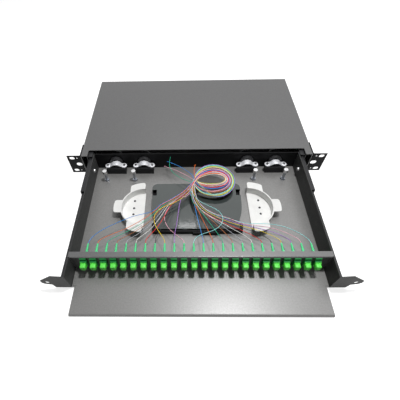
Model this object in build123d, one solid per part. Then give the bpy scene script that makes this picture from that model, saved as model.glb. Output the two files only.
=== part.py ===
from build123d import *
import math
import os

# A 1U sliding fibre patch panel, drawn with its drawer pulled out
# Millimetres: X to the right, Y to the rear, Z up
# Heights are drawn from the underside of the case and saved about the rack hole pattern

# Rack standard
RACK_WIDTH = 482.6
RACK_HOLE_MARGIN = 8.75
RACK_HOLE_PITCH = 31.75
PANEL_H = 43.6
SLOT_LENGTH = 10.0
SLOT_WIDTH = 7.0

# Sheet metal
SHEET = 1.2
EAR_T = 1.5
BEND_R = 1.2

# Case
EAR_REACH = 26.3
CASE_D = 248.0
COVER_NOTCH_D = 15.0
COVER_STRIP_W = 13.0
FLOOR_FLANGE_H = 6.6
EAR_LEG = 30.0
LATCH_HOLE_OUT = 7.6
LATCH_HOLE_W = 11.5
LATCH_HOLE_H = 9.0
PILOT_OUT = 8.2
PILOT_R = 1.6

# Drawer travel and the stroke of the telescopic slides
TRAVEL = 235.0
MIDDLE_TRAVEL = 80.0
CLOSED_GAP = 0.3

# Drawer
DRAWER_D = 245.2
DRAWER_FLOOR_GAP = 1.4
DRAWER_TOP_GAP = 2.0
EAR_TIP_OUT = 14.5
EAR_HOLE_OUT = 6.0
EAR_HOLE_R = 3.25

# Slides
SLIDE_T = 12.7
SLIDE_H = 35.0
SLIDE_LEN = 240.0
SLIDE_SHEET = 1.2
BALL_R = 1.5
BALL_PLAY = 0.1
WEB_GAP_OUTER = 1.7
WEB_GAP_INNER = 1.0
LIP_SET_BACK = 2.0
CAGE_T = 0.6
BRACKET_DEPTH = 9.1

# Adapters, caps and connectors
PORTS = 24
PORT_MARGIN = 13.8
ADAPTER_DROP = 12.4
ADAPTER_W = 9.2
ADAPTER_H = 13.0
ADAPTER_REACH = 9.8
FLANGE_H = 22.0
FLANGE_T = 1.8
ADAPTER_NOSE = 2.6
PORT_W = 7.6
PORT_H = 9.4
CUTOUT_PLAY = 0.2
CAP_W = 9.2
CAP_H = 11.0
CAP_L = 8.0
CAP_CHAMFER = 1.8
CONNECTOR_W = 7.4
CONNECTOR_H = 9.2
CONNECTOR_LEN = 13.6
SLEEVE_T = 0.7
BOOT_LEN = 16.9
BOOT_R = 2.3
BOOT_TIP_R = 1.4

# Adapter panel and patch cord shelf
PANEL_SET_BACK = 30.0
PANEL_FLANGE = 9.5
PANEL_SCREW_MARGIN = 32.8
PANEL_SCREW_INNER_X = 60.0
SHELF_SIDE_GAP = 4.3
SHELF_REACH = 42.0
SHELF_REAR_GAP = 8.0
SHELF_BEND_R = 3.0
SHELF_LIP_BOTTOM = 0.4
COMB_DEPTH = 8.0
COMB_W = 9.4

# Cable entries
ENTRY_MARGIN = 39.3
ENTRY_PITCH = 53.5
ENTRY_Z = 22.0
GLAND_THREAD_R = 9.8
GLAND_BORE_R = 6.0
GLAND_FLANGE_R = 13.0
GLAND_NUT_R = 12.2
GLAND_REACH = 20.0
SEAL_BORE_R = 5.0
POST_OFFSETS = (-17.5, -17.5, 11.6, 13.5)
POST_Y = -26.0
POST_H = 24.0
POST_R = 2.4

# Cable clamps
CLAMP_W = 36.0
CLAMP_FRONT_Y = -10.5
CLAMP_D = 12.0
CLAMP_TOP_Z = 17.6
PAD_T = 2.0
SADDLE_W = 41.0
SADDLE_D = 11.0
SADDLE_T = 1.5
SADDLE_RISE = 6.4

# Splice tray
TRAY_HALF_W = 80.0
TRAY_WAIST_HALF_W = 78.3
TRAY_BOW_HALF_W = 76.9
TRAY_NOSE_HALF_W = 70.0
TRAY_FOOT_HALF_W = 76.7
TRAY_FOOT_TAPER = 2.3
TRAY_REAR_Y = -46.0
TRAY_WAIST_Y = -86.5
TRAY_BOW_Y = -104.0
TRAY_NOSE_Y = -127.6
TRAY_FOOT_Y = -129.8
TRAY_FRONT_Y = -146.5
TRAY_BASE_T = 1.6
TRAY_WALL_T = 1.6
TRAY_H = 9.0
TRAY_COVER_T = 1.6
TRAY_COVER_FRONT_Y = -143.0
TRAY_CORNER_R = 10.0

# Half round fibre rings
RING_TRAY_GAP = 11.5
RING_Y = -100.0
RING_R = 40.0
RING_WALL = 2.0
RING_H = 16.2
RING_FLOOR_T = 2.2
RING_TAB_R = 52.0
RING_TAB_W = 26.0
RING_TAB_T = 1.6
RING_TAB_CORNER_R = 4.0
RING_HOLE_X = 19.0
RING_HOLES_Y = (21.0, 5.0, -8.0)
RIVET_R = 1.4

# Pigtail fibres
FIBRE_R = 0.45
FIBRE_SIDES = 5
TRUNK_R = 2.0
TRUNK_SIDES = 8
COIL_X = 31.0
COIL_Y = -50.5
COIL_RX = 39.0
COIL_RY = 33.5
COIL_HOLE_RX = 23.0
COIL_HOLE_RY = 14.5
COIL_TOP_Z = 37.5

# Small screws
SCREW_R = 1.5
SCREW_HEAD_R = 2.8
SCREW_HEAD_H = 1.8
SCREW_PLAY = 0.1
SCREW_SIDES = 12

# Sizes that follow from the ones above
MID_Z = PANEL_H / 2
RACK_HOLE_SPACING = RACK_WIDTH - 2 * RACK_HOLE_MARGIN
CASE_W = RACK_WIDTH - 2 * EAR_REACH
LATCH_HOLE_X = CASE_W / 2 + LATCH_HOLE_OUT
PILOT_X = CASE_W / 2 + PILOT_OUT
CASE_INNER_X = CASE_W / 2 - SHEET
CASE_TOP_INNER = PANEL_H - SHEET
CASE_FRONT_Y = -EAR_T
CASE_REAR_Y = CASE_FRONT_Y + CASE_D
DRAWER_W = CASE_W - 2 * (SHEET + BRACKET_DEPTH + SLIDE_T)
DRAWER_WALL_TOP = CASE_TOP_INNER - DRAWER_TOP_GAP
DRAWER_FLOOR_Z = SHEET + DRAWER_FLOOR_GAP
DRAWER_TOP_Z = DRAWER_FLOOR_Z + SHEET
DRAWER_INNER_X = DRAWER_W / 2 - SHEET
DRAWER_EAR_Y = CASE_FRONT_Y - CLOSED_GAP - TRAVEL
DRAWER_FRONT_Y = DRAWER_EAR_Y - SHEET
DRAWER_REAR_Y = DRAWER_FRONT_Y + DRAWER_D
REAR_INNER_Y = DRAWER_REAR_Y - SHEET
SHELF_TOP_Z = DRAWER_TOP_Z + SHEET
SLIDE_BACK_X = DRAWER_W / 2 + SLIDE_T
SLIDE_Y = CASE_FRONT_Y + 2.5
PANEL_Y = DRAWER_FRONT_Y + PANEL_SET_BACK
SHELF_HALF_W = DRAWER_INNER_X - SHELF_SIDE_GAP
SHELF_FRONT_Y = DRAWER_FRONT_Y - SHELF_REACH
SHELF_REAR_Y = PANEL_Y - SHELF_REAR_GAP
CONNECTOR_Y = PANEL_Y + CONNECTOR_LEN
BOOT_TIP_Y = CONNECTOR_Y + BOOT_LEN
ADAPTER_Z = DRAWER_WALL_TOP - ADAPTER_DROP
ENTRY_OUTER_X = DRAWER_INNER_X - ENTRY_MARGIN
ENTRY_INNER_X = ENTRY_OUTER_X - ENTRY_PITCH
ENTRY_X = (-ENTRY_OUTER_X, -ENTRY_INNER_X, ENTRY_INNER_X, ENTRY_OUTER_X)
POST_X = [x + offset for x, offset in zip(ENTRY_X, POST_OFFSETS)]
TRAY_TOP_Z = DRAWER_TOP_Z + TRAY_H + TRAY_COVER_T
RING_X = TRAY_HALF_W + RING_TRAY_GAP
COIL_BOTTOM_Z = TRAY_TOP_Z
PORT_PITCH = (DRAWER_W - 2 * PORT_MARGIN) / PORTS
PORT_X = [(i - (PORTS - 1) / 2) * PORT_PITCH for i in range(PORTS)]

CENTRE = Align.CENTER
LOW = Align.MIN


# Basic shapes

def block(x, y, z):
    size = (x[1] - x[0], y[1] - y[0], z[1] - z[0])
    middle = ((x[0] + x[1]) / 2, (y[0] + y[1]) / 2, (z[0] + z[1]) / 2)
    return Pos(*middle) * Box(*size)


def rod(radius, start, end, end_radius=None):
    # A round bar, or a round taper when the far end has a radius of its own
    reach = Vector(*end) - Vector(*start)
    plane = Plane(origin=start, z_dir=reach)
    if end_radius is None:
        return plane * Cylinder(radius, reach.length, align=(CENTRE, CENTRE, LOW))
    return plane * Cone(radius, end_radius, reach.length, align=(CENTRE, CENTRE, LOW))


def prism(radius, start, end, end_radius=None, sides=SCREW_SIDES):
    # A small round piece with few faces, for what repeats many times
    reach = Vector(*end) - Vector(*start)
    low = Plane(origin=start, z_dir=reach)
    if end_radius is None:
        return extrude(low * RegularPolygon(radius, sides), amount=reach.length)
    high = low.offset(reach.length)
    return loft([low * RegularPolygon(radius, sides), high * RegularPolygon(end_radius, sides)])


def outline(points):
    return make_face(Polyline(*points, close=True))


def along_y(sketch, y):
    # A sketch whose X and Y are the X and Z of the part, carried from y[0] to y[1]
    plane = Plane(origin=(0, y[1], 0), x_dir=(1, 0, 0), z_dir=(0, -1, 0))
    return extrude(plane * sketch, amount=y[1] - y[0])


def along_x(sketch, x):
    # A sketch whose X and Y are the Y and Z of the part, carried from x[0] to x[1]
    plane = Plane(origin=(x[0], 0, 0), x_dir=(0, 1, 0), z_dir=(1, 0, 0))
    return extrude(plane * sketch, amount=x[1] - x[0])


def along_z(sketch, z):
    return extrude(Plane.XY.offset(z[0]) * sketch, amount=z[1] - z[0])


def folded(points, thickness=SHEET, radius=BEND_R):
    # The section of a bent sheet, from the line down its middle
    return trace(FilletPolyline(*points, radius=radius), line_width=thickness)


def mirrored(shape):
    return mirror(shape, about=Plane.YZ)


def pan_screw(head_at, direction, shank, radius=SCREW_R, head_r=SCREW_HEAD_R, head_h=SCREW_HEAD_H):
    # head_at is the centre of the face under the head, and direction points along the shank
    at = Vector(*head_at)
    way = Vector(*direction)
    head = prism(head_r, tuple(at), tuple(at - way * head_h), head_r * 0.8)
    return head + prism(radius, tuple(at - way * 0.2), tuple(at + way * shank))


def screw_hole(head_at, direction, depth, radius=SCREW_R):
    at = Vector(*head_at)
    way = Vector(*direction)
    return rod(radius + SCREW_PLAY, tuple(at - way), tuple(at + way * depth))


def save(name, shapes):
    group = shapes if isinstance(shapes, list) else [shapes]
    solids = [solid for shape in group for solid in shape.solids()]
    moved = [solid.moved(Location((0, 0, -MID_Z))) for solid in solids]
    whole = moved[0] if len(moved) == 1 else Compound(children=moved)
    whole.label = name
    export_step(whole, f"parts/{name}.step")


# Case

FLOOR_SCREW_FRONT_Y = CASE_FRONT_Y + 46.5
FLOOR_SCREW_REAR_Y = CASE_REAR_Y - 41.5
FLOOR_SCREWS_Y = (FLOOR_SCREW_FRONT_Y, (FLOOR_SCREW_FRONT_Y + FLOOR_SCREW_REAR_Y) / 2, FLOOR_SCREW_REAR_Y)
FLOOR_SCREW_Z = 3.9
BRACKET_FRONT_Y = SLIDE_Y + 28.0
BRACKET_LEN = SLIDE_LEN - 40.0
BRACKET_SCREWS_Y = (BRACKET_FRONT_Y + 16.0, BRACKET_FRONT_Y + BRACKET_LEN - 19.0)
BRACKET_SCREWS_Z = (MID_Z - 11.6, MID_Z + 11.6)
EAR_SCREWS_Z = (MID_Z - 10.0, MID_Z + 10.0)
EAR_SCREW_Y = 16.0


def side_screws(side, ys, zs, shank, seat_x=CASE_W / 2):
    inward = (-side, 0, 0)
    return [pan_screw((side * seat_x, y, z), inward, shank) for y in ys for z in zs]


def side_holes(side, ys, zs, depth, seat_x=CASE_W / 2):
    inward = (-side, 0, 0)
    return [screw_hole((side * seat_x, y, z), inward, depth) for y in ys for z in zs]


def case_wall_holes():
    holes = []
    for side in (-1, 1):
        holes += side_holes(side, FLOOR_SCREWS_Y, (FLOOR_SCREW_Z,), 2 * SHEET + 1)
        holes += side_holes(side, BRACKET_SCREWS_Y, BRACKET_SCREWS_Z, 2 * SHEET + 1)
        holes += side_holes(side, (EAR_SCREW_Y,), EAR_SCREWS_Z, SHEET + 1)
    return holes


def chassis_cover():
    middle_x = CASE_W / 2 - SHEET / 2
    top_z = PANEL_H - SHEET / 2
    section = folded([(-middle_x, 0), (-middle_x, top_z), (middle_x, top_z), (middle_x, 0)])
    shell = along_y(section, (CASE_FRONT_Y, CASE_REAR_Y))
    notch_x = CASE_W / 2 - COVER_STRIP_W
    notch = along_z(
        Pos(0, CASE_FRONT_Y) * fillet(Rectangle(2 * notch_x, 2 * COVER_NOTCH_D).vertices(), 2),
        (CASE_TOP_INNER - 2, PANEL_H + 1),
    )
    return shell - notch - case_wall_holes()


def chassis_floor():
    middle_x = CASE_INNER_X - SHEET / 2
    low_z = SHEET / 2
    high_z = FLOOR_FLANGE_H
    section = folded([(-middle_x, high_z), (-middle_x, low_z), (middle_x, low_z), (middle_x, high_z)])
    floor = along_y(section, (CASE_FRONT_Y, CASE_REAR_Y))
    holes = []
    for side in (-1, 1):
        holes += side_holes(side, FLOOR_SCREWS_Y, (FLOOR_SCREW_Z,), 2 * SHEET + 1)
    return floor - holes


def rack_ear():
    # The right ear: a front plate with the rack slots and a leg along the case wall
    middle_y = CASE_FRONT_Y + EAR_T / 2
    middle_x = CASE_W / 2 + EAR_T / 2
    bend = folded(
        [(RACK_WIDTH / 2, middle_y), (middle_x, middle_y), (middle_x, EAR_LEG)], EAR_T, EAR_T
    )
    ear = along_z(bend, (0, PANEL_H))
    cuts = [slot_cut(RACK_HOLE_SPACING / 2, MID_Z + way * RACK_HOLE_PITCH / 2) for way in (-1, 1)]
    cuts += [rod(PILOT_R, (PILOT_X, -5, z), (PILOT_X, 2, z)) for z in pilot_heights()]
    cuts.append(slot_cut(LATCH_HOLE_X, MID_Z, LATCH_HOLE_W, LATCH_HOLE_H))
    cuts += side_holes(1, (EAR_SCREW_Y,), EAR_SCREWS_Z, EAR_T + 1, CASE_W / 2 + EAR_T)
    return ear - cuts


def pilot_heights():
    return [MID_Z - RACK_HOLE_PITCH / 2, MID_Z + RACK_HOLE_PITCH / 2]


def slot_cut(x, z, length=SLOT_LENGTH, width=SLOT_WIDTH):
    return along_y(Pos(x, z) * SlotOverall(length, width), (CASE_FRONT_Y - 2, 2))


def case_screws():
    floor_screws = []
    ear_screws = []
    bracket_screws = []
    for side in (-1, 1):
        floor_screws += side_screws(side, FLOOR_SCREWS_Y, (FLOOR_SCREW_Z,), 2 * SHEET + 0.4)
        bracket_screws += side_screws(side, BRACKET_SCREWS_Y, BRACKET_SCREWS_Z, 2 * SHEET + 0.4)
        ear_screws += side_screws(side, (EAR_SCREW_Y,), EAR_SCREWS_Z, EAR_T + SHEET + 0.4, CASE_W / 2 + EAR_T)
    save("floor_screws", floor_screws)
    save("ear_screws", ear_screws)
    save("bracket_screws", bracket_screws)


def save_case():
    save("chassis_cover", chassis_cover())
    save("chassis_floor", chassis_floor())
    ear = rack_ear()
    save("rack_ear_right", ear)
    save("rack_ear_left", mirrored(ear))
    case_screws()


# Slides, each drawn for the right hand side

BRACKET_WEB_HALF = 8.0
BRACKET_FLANGE = 6.4
INNER_START_Y = SLIDE_Y - TRAVEL
OUTER_SCREWS_Y = (SLIDE_Y + 49.0, SLIDE_Y + SLIDE_LEN - 51.0)
INNER_SCREWS_Y = (INNER_START_Y + SLIDE_LEN - 24.0, INNER_START_Y + 34.0)
SLIDE_SCREW_R = 2.0
SLIDE_SCREW_HEAD_R = 3.6
SLIDE_NUT_R = 3.8
SLIDE_NUT_H = 2.6


def channel(web_x, lip_x, half_height, thickness=SLIDE_SHEET):
    # A C section: the web stands at web_x and its two lips reach to lip_x
    way = 1 if lip_x > web_x else -1
    x = web_x + way * thickness / 2
    z = half_height - thickness / 2
    points = [(lip_x, MID_Z + z), (x, MID_Z + z), (x, MID_Z - z), (lip_x, MID_Z - z)]
    return folded(points, thickness, thickness * 0.7)


OUTER_LIP_X = DRAWER_W / 2 + LIP_SET_BACK
MIDDLE_WEB_X = SLIDE_BACK_X - SLIDE_SHEET - WEB_GAP_OUTER
BALL_ROOM = 2 * (BALL_R + BALL_PLAY)
MIDDLE_HALF_H = SLIDE_H / 2 - SLIDE_SHEET - BALL_ROOM
INNER_HALF_H = MIDDLE_HALF_H - SLIDE_SHEET - BALL_ROOM
INNER_LIP_X = MIDDLE_WEB_X - SLIDE_SHEET - WEB_GAP_INNER
OUTER_BALL_Z = MIDDLE_HALF_H + BALL_ROOM / 2
INNER_BALL_Z = INNER_HALF_H + BALL_ROOM / 2
OUTER_BALL_X = (OUTER_LIP_X + MIDDLE_WEB_X) / 2 + 1
INNER_BALL_X = INNER_LIP_X - 2.6
OUTER_CAGE_LEN = SLIDE_LEN / 2
INNER_CAGE_LEN = SLIDE_LEN - TRAVEL + MIDDLE_TRAVEL - 15
BALL_SIDES = 8


def slide_bracket():
    # A hat section that stands the slide off the case wall
    wall_x = CASE_INNER_X - SHEET / 2
    web_x = SLIDE_BACK_X + SHEET / 2
    low_z = MID_Z - BRACKET_WEB_HALF
    high_z = MID_Z + BRACKET_WEB_HALF
    points = [
        (wall_x, low_z - BRACKET_FLANGE),
        (wall_x, low_z),
        (web_x, low_z),
        (web_x, high_z),
        (wall_x, high_z),
        (wall_x, high_z + BRACKET_FLANGE),
    ]
    bracket = along_y(folded(points), (BRACKET_FRONT_Y, BRACKET_FRONT_Y + BRACKET_LEN))
    holes = side_holes(1, BRACKET_SCREWS_Y, BRACKET_SCREWS_Z, 2 * SHEET + 2)
    holes += [outer_screw_hole(y) for y in OUTER_SCREWS_Y]
    return bracket - holes


def outer_screw_hole(y, radius=SLIDE_SCREW_R + SCREW_PLAY):
    return rod(radius, (SLIDE_BACK_X - 3, y, MID_Z), (SLIDE_BACK_X + 4, y, MID_Z))


def outer_slide_screw(y):
    # A flat head that sits flush in the outer member, with its nut inside the bracket
    web_face = SLIDE_BACK_X - SLIDE_SHEET
    nut_x = SLIDE_BACK_X + SHEET
    head = prism(SLIDE_SCREW_HEAD_R, (web_face, y, MID_Z), (SLIDE_BACK_X, y, MID_Z), SLIDE_SCREW_R)
    shank = prism(SLIDE_SCREW_R, (SLIDE_BACK_X - 0.5, y, MID_Z), (nut_x + SLIDE_NUT_H + 0.8, y, MID_Z))
    nut = prism(SLIDE_NUT_R, (nut_x, y, MID_Z), (nut_x + SLIDE_NUT_H, y, MID_Z), sides=6)
    return head + shank + nut


def slide_outer():
    member = along_y(channel(SLIDE_BACK_X, OUTER_LIP_X, SLIDE_H / 2), (SLIDE_Y, SLIDE_Y + SLIDE_LEN))
    web_face = SLIDE_BACK_X - SLIDE_SHEET
    wide = SLIDE_SCREW_HEAD_R + SCREW_PLAY
    narrow = SLIDE_SCREW_R + SCREW_PLAY
    over = 0.05
    sinks = [
        rod(wide, (web_face - over, y, MID_Z), (SLIDE_BACK_X + over, y, MID_Z), narrow)
        for y in OUTER_SCREWS_Y
    ]
    return member - sinks


def slide_middle():
    start = SLIDE_Y - MIDDLE_TRAVEL
    section = channel(MIDDLE_WEB_X, OUTER_LIP_X - 0.6, MIDDLE_HALF_H)
    return along_y(section, (start, start + SLIDE_LEN))


def slide_inner():
    section = channel(DRAWER_W / 2, INNER_LIP_X, INNER_HALF_H)
    member = along_y(section, (INNER_START_Y, INNER_START_Y + SLIDE_LEN))
    return member - [inner_screw_hole(y) for y in INNER_SCREWS_Y]


def inner_screw_hole(y):
    radius = SLIDE_SCREW_R + SCREW_PLAY
    return rod(radius, (DRAWER_INNER_X - 1, y, MID_Z), (DRAWER_W / 2 + 2, y, MID_Z))


def inner_slide_screw(y):
    shank = SHEET + SLIDE_SHEET + 0.6
    return pan_screw((DRAWER_INNER_X, y, MID_Z), (1, 0, 0), shank, SLIDE_SCREW_R, 3.5, 2.0)


def ball(place):
    # A ball with flats, turned so that a flat rolls on each race
    width = 2 * BALL_R
    face = RegularPolygon(BALL_R, BALL_SIDES, major_radius=False)
    bars = [extrude(plane * face, amount=width / 2, both=True) for plane in (Plane.XY, Plane.XZ, Plane.YZ)]
    return Pos(*place) * (bars[0] & bars[1] & bars[2])


def ball_cage(web_x, web_t, lip_x, ball_x, ball_z, start, length):
    # A thin C strip with holes that carry the balls, and the balls themselves
    section = channel(web_x, lip_x, ball_z + CAGE_T / 2, web_t)
    cage = along_y(section, (start, start + length))
    places = [
        (ball_x, start + length * share, MID_Z + way * ball_z)
        for share in (0.12, 0.5, 0.88)
        for way in (-1, 1)
    ]
    holes = [
        prism(BALL_R + 0.2, (x, y, z - 2), (x, y, z + 2), sides=BALL_SIDES * 2) for x, y, z in places
    ]
    return [cage - holes] + [ball(place) for place in places]


def outer_ball_cage():
    start = SLIDE_Y + 20
    web_x = MIDDLE_WEB_X + WEB_GAP_OUTER / 2 + CAGE_T / 2
    lip_x = OUTER_LIP_X + 1.2
    return ball_cage(web_x, CAGE_T, lip_x, OUTER_BALL_X, OUTER_BALL_Z, start, OUTER_CAGE_LEN)


def inner_ball_cage():
    start = SLIDE_Y - MIDDLE_TRAVEL + 6
    web_t = CAGE_T * 2 / 3
    web_x = INNER_LIP_X + WEB_GAP_INNER / 2 + web_t / 2
    lip_x = INNER_BALL_X - 2.4
    return ball_cage(web_x, web_t, lip_x, INNER_BALL_X, INNER_BALL_Z, start, INNER_CAGE_LEN)


def save_pair(name, shapes):
    group = shapes if isinstance(shapes, list) else [shapes]
    save(f"{name}_right", group)
    save(f"{name}_left", [mirrored(shape) for shape in group])


def save_slides():
    save_pair("slide_bracket", slide_bracket())
    save_pair("slide_outer", slide_outer())
    save_pair("slide_middle", slide_middle())
    save_pair("slide_inner", slide_inner())
    save_pair("outer_ball_cage", outer_ball_cage())
    save_pair("inner_ball_cage", inner_ball_cage())
    outer_screws = [outer_slide_screw(y) for y in OUTER_SCREWS_Y]
    inner_screws = [inner_slide_screw(y) for y in INNER_SCREWS_Y]
    save("outer_slide_screws", outer_screws + [mirrored(s) for s in outer_screws])
    save("inner_slide_screws", inner_screws + [mirrored(s) for s in inner_screws])


# Drawer

PANEL_SCREW_OUTER_X = DRAWER_INNER_X - PANEL_SCREW_MARGIN
PANEL_SCREWS_X = (-PANEL_SCREW_OUTER_X, -PANEL_SCREW_INNER_X, PANEL_SCREW_INNER_X, PANEL_SCREW_OUTER_X)
PANEL_SCREW_Y = PANEL_Y + SHEET + 4.6


def drawer_ear():
    # The right ear tapers to a tongue between the two rack screws
    case_x = CASE_W / 2
    tip_x = case_x + EAR_TIP_OUT
    points = [
        (DRAWER_INNER_X, DRAWER_FLOOR_Z),
        (case_x - 0.5, DRAWER_FLOOR_Z),
        (case_x + 1.5, MID_Z - 8.3),
        (tip_x - 3.0, MID_Z - 4.8),
        (tip_x, MID_Z - 0.8),
        (tip_x, MID_Z + 5.7),
        (case_x - 5.0, PANEL_H - 0.6),
        (DRAWER_W / 2, DRAWER_WALL_TOP),
        (DRAWER_INNER_X, DRAWER_WALL_TOP),
    ]
    ear = along_y(outline(points), (DRAWER_FRONT_Y, DRAWER_EAR_Y))
    hole_x = case_x + EAR_HOLE_OUT
    hole = rod(EAR_HOLE_R, (hole_x, DRAWER_FRONT_Y - 1, MID_Z), (hole_x, DRAWER_EAR_Y + 1, MID_Z))
    return ear - hole


def drawer_side():
    # The right wall and its ear in one folded piece
    wall = block((DRAWER_INNER_X, DRAWER_W / 2), (DRAWER_FRONT_Y, DRAWER_REAR_Y), (DRAWER_FLOOR_Z, DRAWER_WALL_TOP))
    return wall + drawer_ear() - [inner_screw_hole(y) for y in INNER_SCREWS_Y]


def drawer_floor():
    inside = (-DRAWER_INNER_X, DRAWER_INNER_X)
    return block(inside, (DRAWER_FRONT_Y, DRAWER_REAR_Y), (DRAWER_FLOOR_Z, DRAWER_TOP_Z))


def drawer_rear_wall():
    inside = (-DRAWER_INNER_X, DRAWER_INNER_X)
    wall = block(inside, (REAR_INNER_Y, DRAWER_REAR_Y), (DRAWER_TOP_Z, DRAWER_WALL_TOP))
    entries = [
        rod(GLAND_THREAD_R + SCREW_PLAY, (x, REAR_INNER_Y - 1, ENTRY_Z), (x, DRAWER_REAR_Y + 1, ENTRY_Z))
        for x in ENTRY_X
    ]
    return wall - entries


def adapter_panel():
    # A channel on its side: the ported wall, a top flange over the drawer walls and a foot
    middle_y = PANEL_Y + SHEET / 2
    top_z = DRAWER_WALL_TOP + SHEET / 2
    foot_z = DRAWER_TOP_Z + SHEET / 2
    rear_y = PANEL_Y + PANEL_FLANGE
    section = folded([(rear_y, top_z), (middle_y, top_z), (middle_y, foot_z), (rear_y, foot_z)])
    inside = DRAWER_INNER_X - BEND_R
    panel = along_x(section, (-inside, inside))
    for side in (-1, 1):
        ends = sorted((side * (inside - 0.5), side * DRAWER_W / 2))
        panel += block(ends, (PANEL_Y + 1.2, rear_y), (DRAWER_WALL_TOP, DRAWER_WALL_TOP + SHEET))
    cutout = (ADAPTER_W + 2 * CUTOUT_PLAY, ADAPTER_H + 2 * CUTOUT_PLAY)
    ports = [
        block(
            (x - cutout[0] / 2, x + cutout[0] / 2),
            (PANEL_Y - 1, PANEL_Y + SHEET + 1),
            (ADAPTER_Z - cutout[1] / 2, ADAPTER_Z + cutout[1] / 2),
        )
        for x in PORT_X
    ]
    holes = [screw_hole((x, PANEL_SCREW_Y, SHELF_TOP_Z), (0, 0, -1), SHEET) for x in PANEL_SCREWS_X]
    return panel - ports - holes


def panel_screws():
    return [pan_screw((x, PANEL_SCREW_Y, SHELF_TOP_Z), (0, 0, -1), SHEET) for x in PANEL_SCREWS_X]


def front_plate():
    # The patch cord shelf: a comb behind, a rounded lip in front, narrower past the drawer ears
    middle_z = SHELF_TOP_Z - SHEET / 2
    front_y = SHELF_FRONT_Y + SHEET / 2
    bend = SHELF_BEND_R - SHEET / 2
    points = [(SHELF_REAR_Y, middle_z), (front_y, middle_z), (front_y, SHELF_LIP_BOTTOM)]
    section = folded(points, SHEET, bend)
    plate = along_x(section, (-SHELF_HALF_W, SHELF_HALF_W))
    inside = DRAWER_INNER_X - BEND_R
    plate += block((-inside, inside), (DRAWER_FRONT_Y, SHELF_REAR_Y), (DRAWER_TOP_Z, SHELF_TOP_Z))
    notches = [
        block(
            (x - COMB_W / 2, x + COMB_W / 2),
            (SHELF_REAR_Y - COMB_DEPTH, SHELF_REAR_Y + 1),
            (DRAWER_TOP_Z - 1, SHELF_TOP_Z + 1),
        )
        for x in PORT_X
    ]
    relief_y = (DRAWER_FRONT_Y, DRAWER_FRONT_Y + 1.6)
    reliefs = []
    for side in (-1, 1):
        ends = sorted((side * (SHELF_HALF_W - 2), side * (inside + 1)))
        reliefs.append(block(ends, relief_y, (0, SHELF_TOP_Z + 4)))
    return plate - notches - reliefs


# Adapters and what plugs into them

def adapter(x):
    nose_y = PANEL_Y - FLANGE_T - ADAPTER_NOSE
    rear_y = PANEL_Y + SHEET + ADAPTER_REACH
    width = (-ADAPTER_W / 2, ADAPTER_W / 2)
    body = block(width, (nose_y, rear_y), (-ADAPTER_H / 2, ADAPTER_H / 2))
    flange = block(width, (PANEL_Y - FLANGE_T, PANEL_Y), (-FLANGE_H / 2, FLANGE_H / 2))
    port = block((-PORT_W / 2, PORT_W / 2), (nose_y - 1, rear_y + 1), (-PORT_H / 2, PORT_H / 2))
    return Pos(x, 0, ADAPTER_Z) * (body + flange - port)


PLUG_PLAY = 0.2
PLUG_LEN = 2.6


def dust_cap(x):
    # A block with bevelled edges over the port and a plug that grips inside it
    seat_y = PANEL_Y - FLANGE_T - ADAPTER_NOSE
    seat = Plane(origin=(0, seat_y, 0), x_dir=(1, 0, 0), z_dir=(0, -1, 0))
    face = chamfer(Rectangle(CAP_W, CAP_H).vertices(), CAP_CHAMFER)
    shell = extrude(seat * face, amount=CAP_L, taper=4)
    half_w = PORT_W / 2 - PLUG_PLAY
    half_h = PORT_H / 2 - PLUG_PLAY
    plug = block((-half_w, half_w), (seat_y, seat_y + PLUG_LEN), (-half_h, half_h))
    return Pos(x, 0, ADAPTER_Z) * (shell + plug)


def connector(x):
    # A housing with a pull sleeve that is a little wider behind the adapter
    half_w = CONNECTOR_W / 2
    half_h = CONNECTOR_H / 2
    adapter_rear = PANEL_Y + SHEET + ADAPTER_REACH
    wide = half_w + SLEEVE_T
    high = half_h + SLEEVE_T
    inner = block((-half_w, half_w), (PANEL_Y + 2, CONNECTOR_Y), (-half_h, half_h))
    sleeve = block((-wide, wide), (adapter_rear, CONNECTOR_Y - 0.8), (-high, high))
    return Pos(x, 0, ADAPTER_Z) * (inner + sleeve)


def boot(x):
    return prism(BOOT_R, (x, CONNECTOR_Y, ADAPTER_Z), (x, BOOT_TIP_Y, ADAPTER_Z), BOOT_TIP_R, 8)


def save_ports():
    save("adapters", [adapter(x) for x in PORT_X])
    save("dust_caps", [dust_cap(x) for x in PORT_X])
    save("pigtail_connectors", [connector(x) for x in PORT_X])
    save("pigtail_boots", [boot(x) for x in PORT_X])


# Cable glands, clamps and strength member posts

def turned(profile, x, z=ENTRY_Z):
    # A profile of (radius, y) points turned about the entry's own axis
    points = [(radius, y, 0) for radius, y in profile]
    shape = revolve(outline(points), Axis.Y)
    return Pos(x, 0, z) * shape


def gland_body(x):
    wall = DRAWER_REAR_Y
    profile = [
        (GLAND_BORE_R + 2, REAR_INNER_Y - 4.2),
        (GLAND_THREAD_R, REAR_INNER_Y - 4.2),
        (GLAND_THREAD_R, wall),
        (GLAND_FLANGE_R, wall),
        (GLAND_FLANGE_R, wall + 3),
        (GLAND_THREAD_R - 0.3, wall + 3),
        (GLAND_THREAD_R - 0.3, wall + 12),
        (GLAND_BORE_R + 2, wall + 12),
    ]
    return turned(profile, x)


def gland_nut(x):
    plane = Plane(origin=(x, REAR_INNER_Y, ENTRY_Z), z_dir=(0, -1, 0))
    nut = extrude(plane * RegularPolygon(GLAND_NUT_R, 10), amount=3.8)
    hole = rod(GLAND_THREAD_R + SCREW_PLAY, (x, REAR_INNER_Y - 5, ENTRY_Z), (x, REAR_INNER_Y + 1, ENTRY_Z))
    return nut - hole


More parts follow.
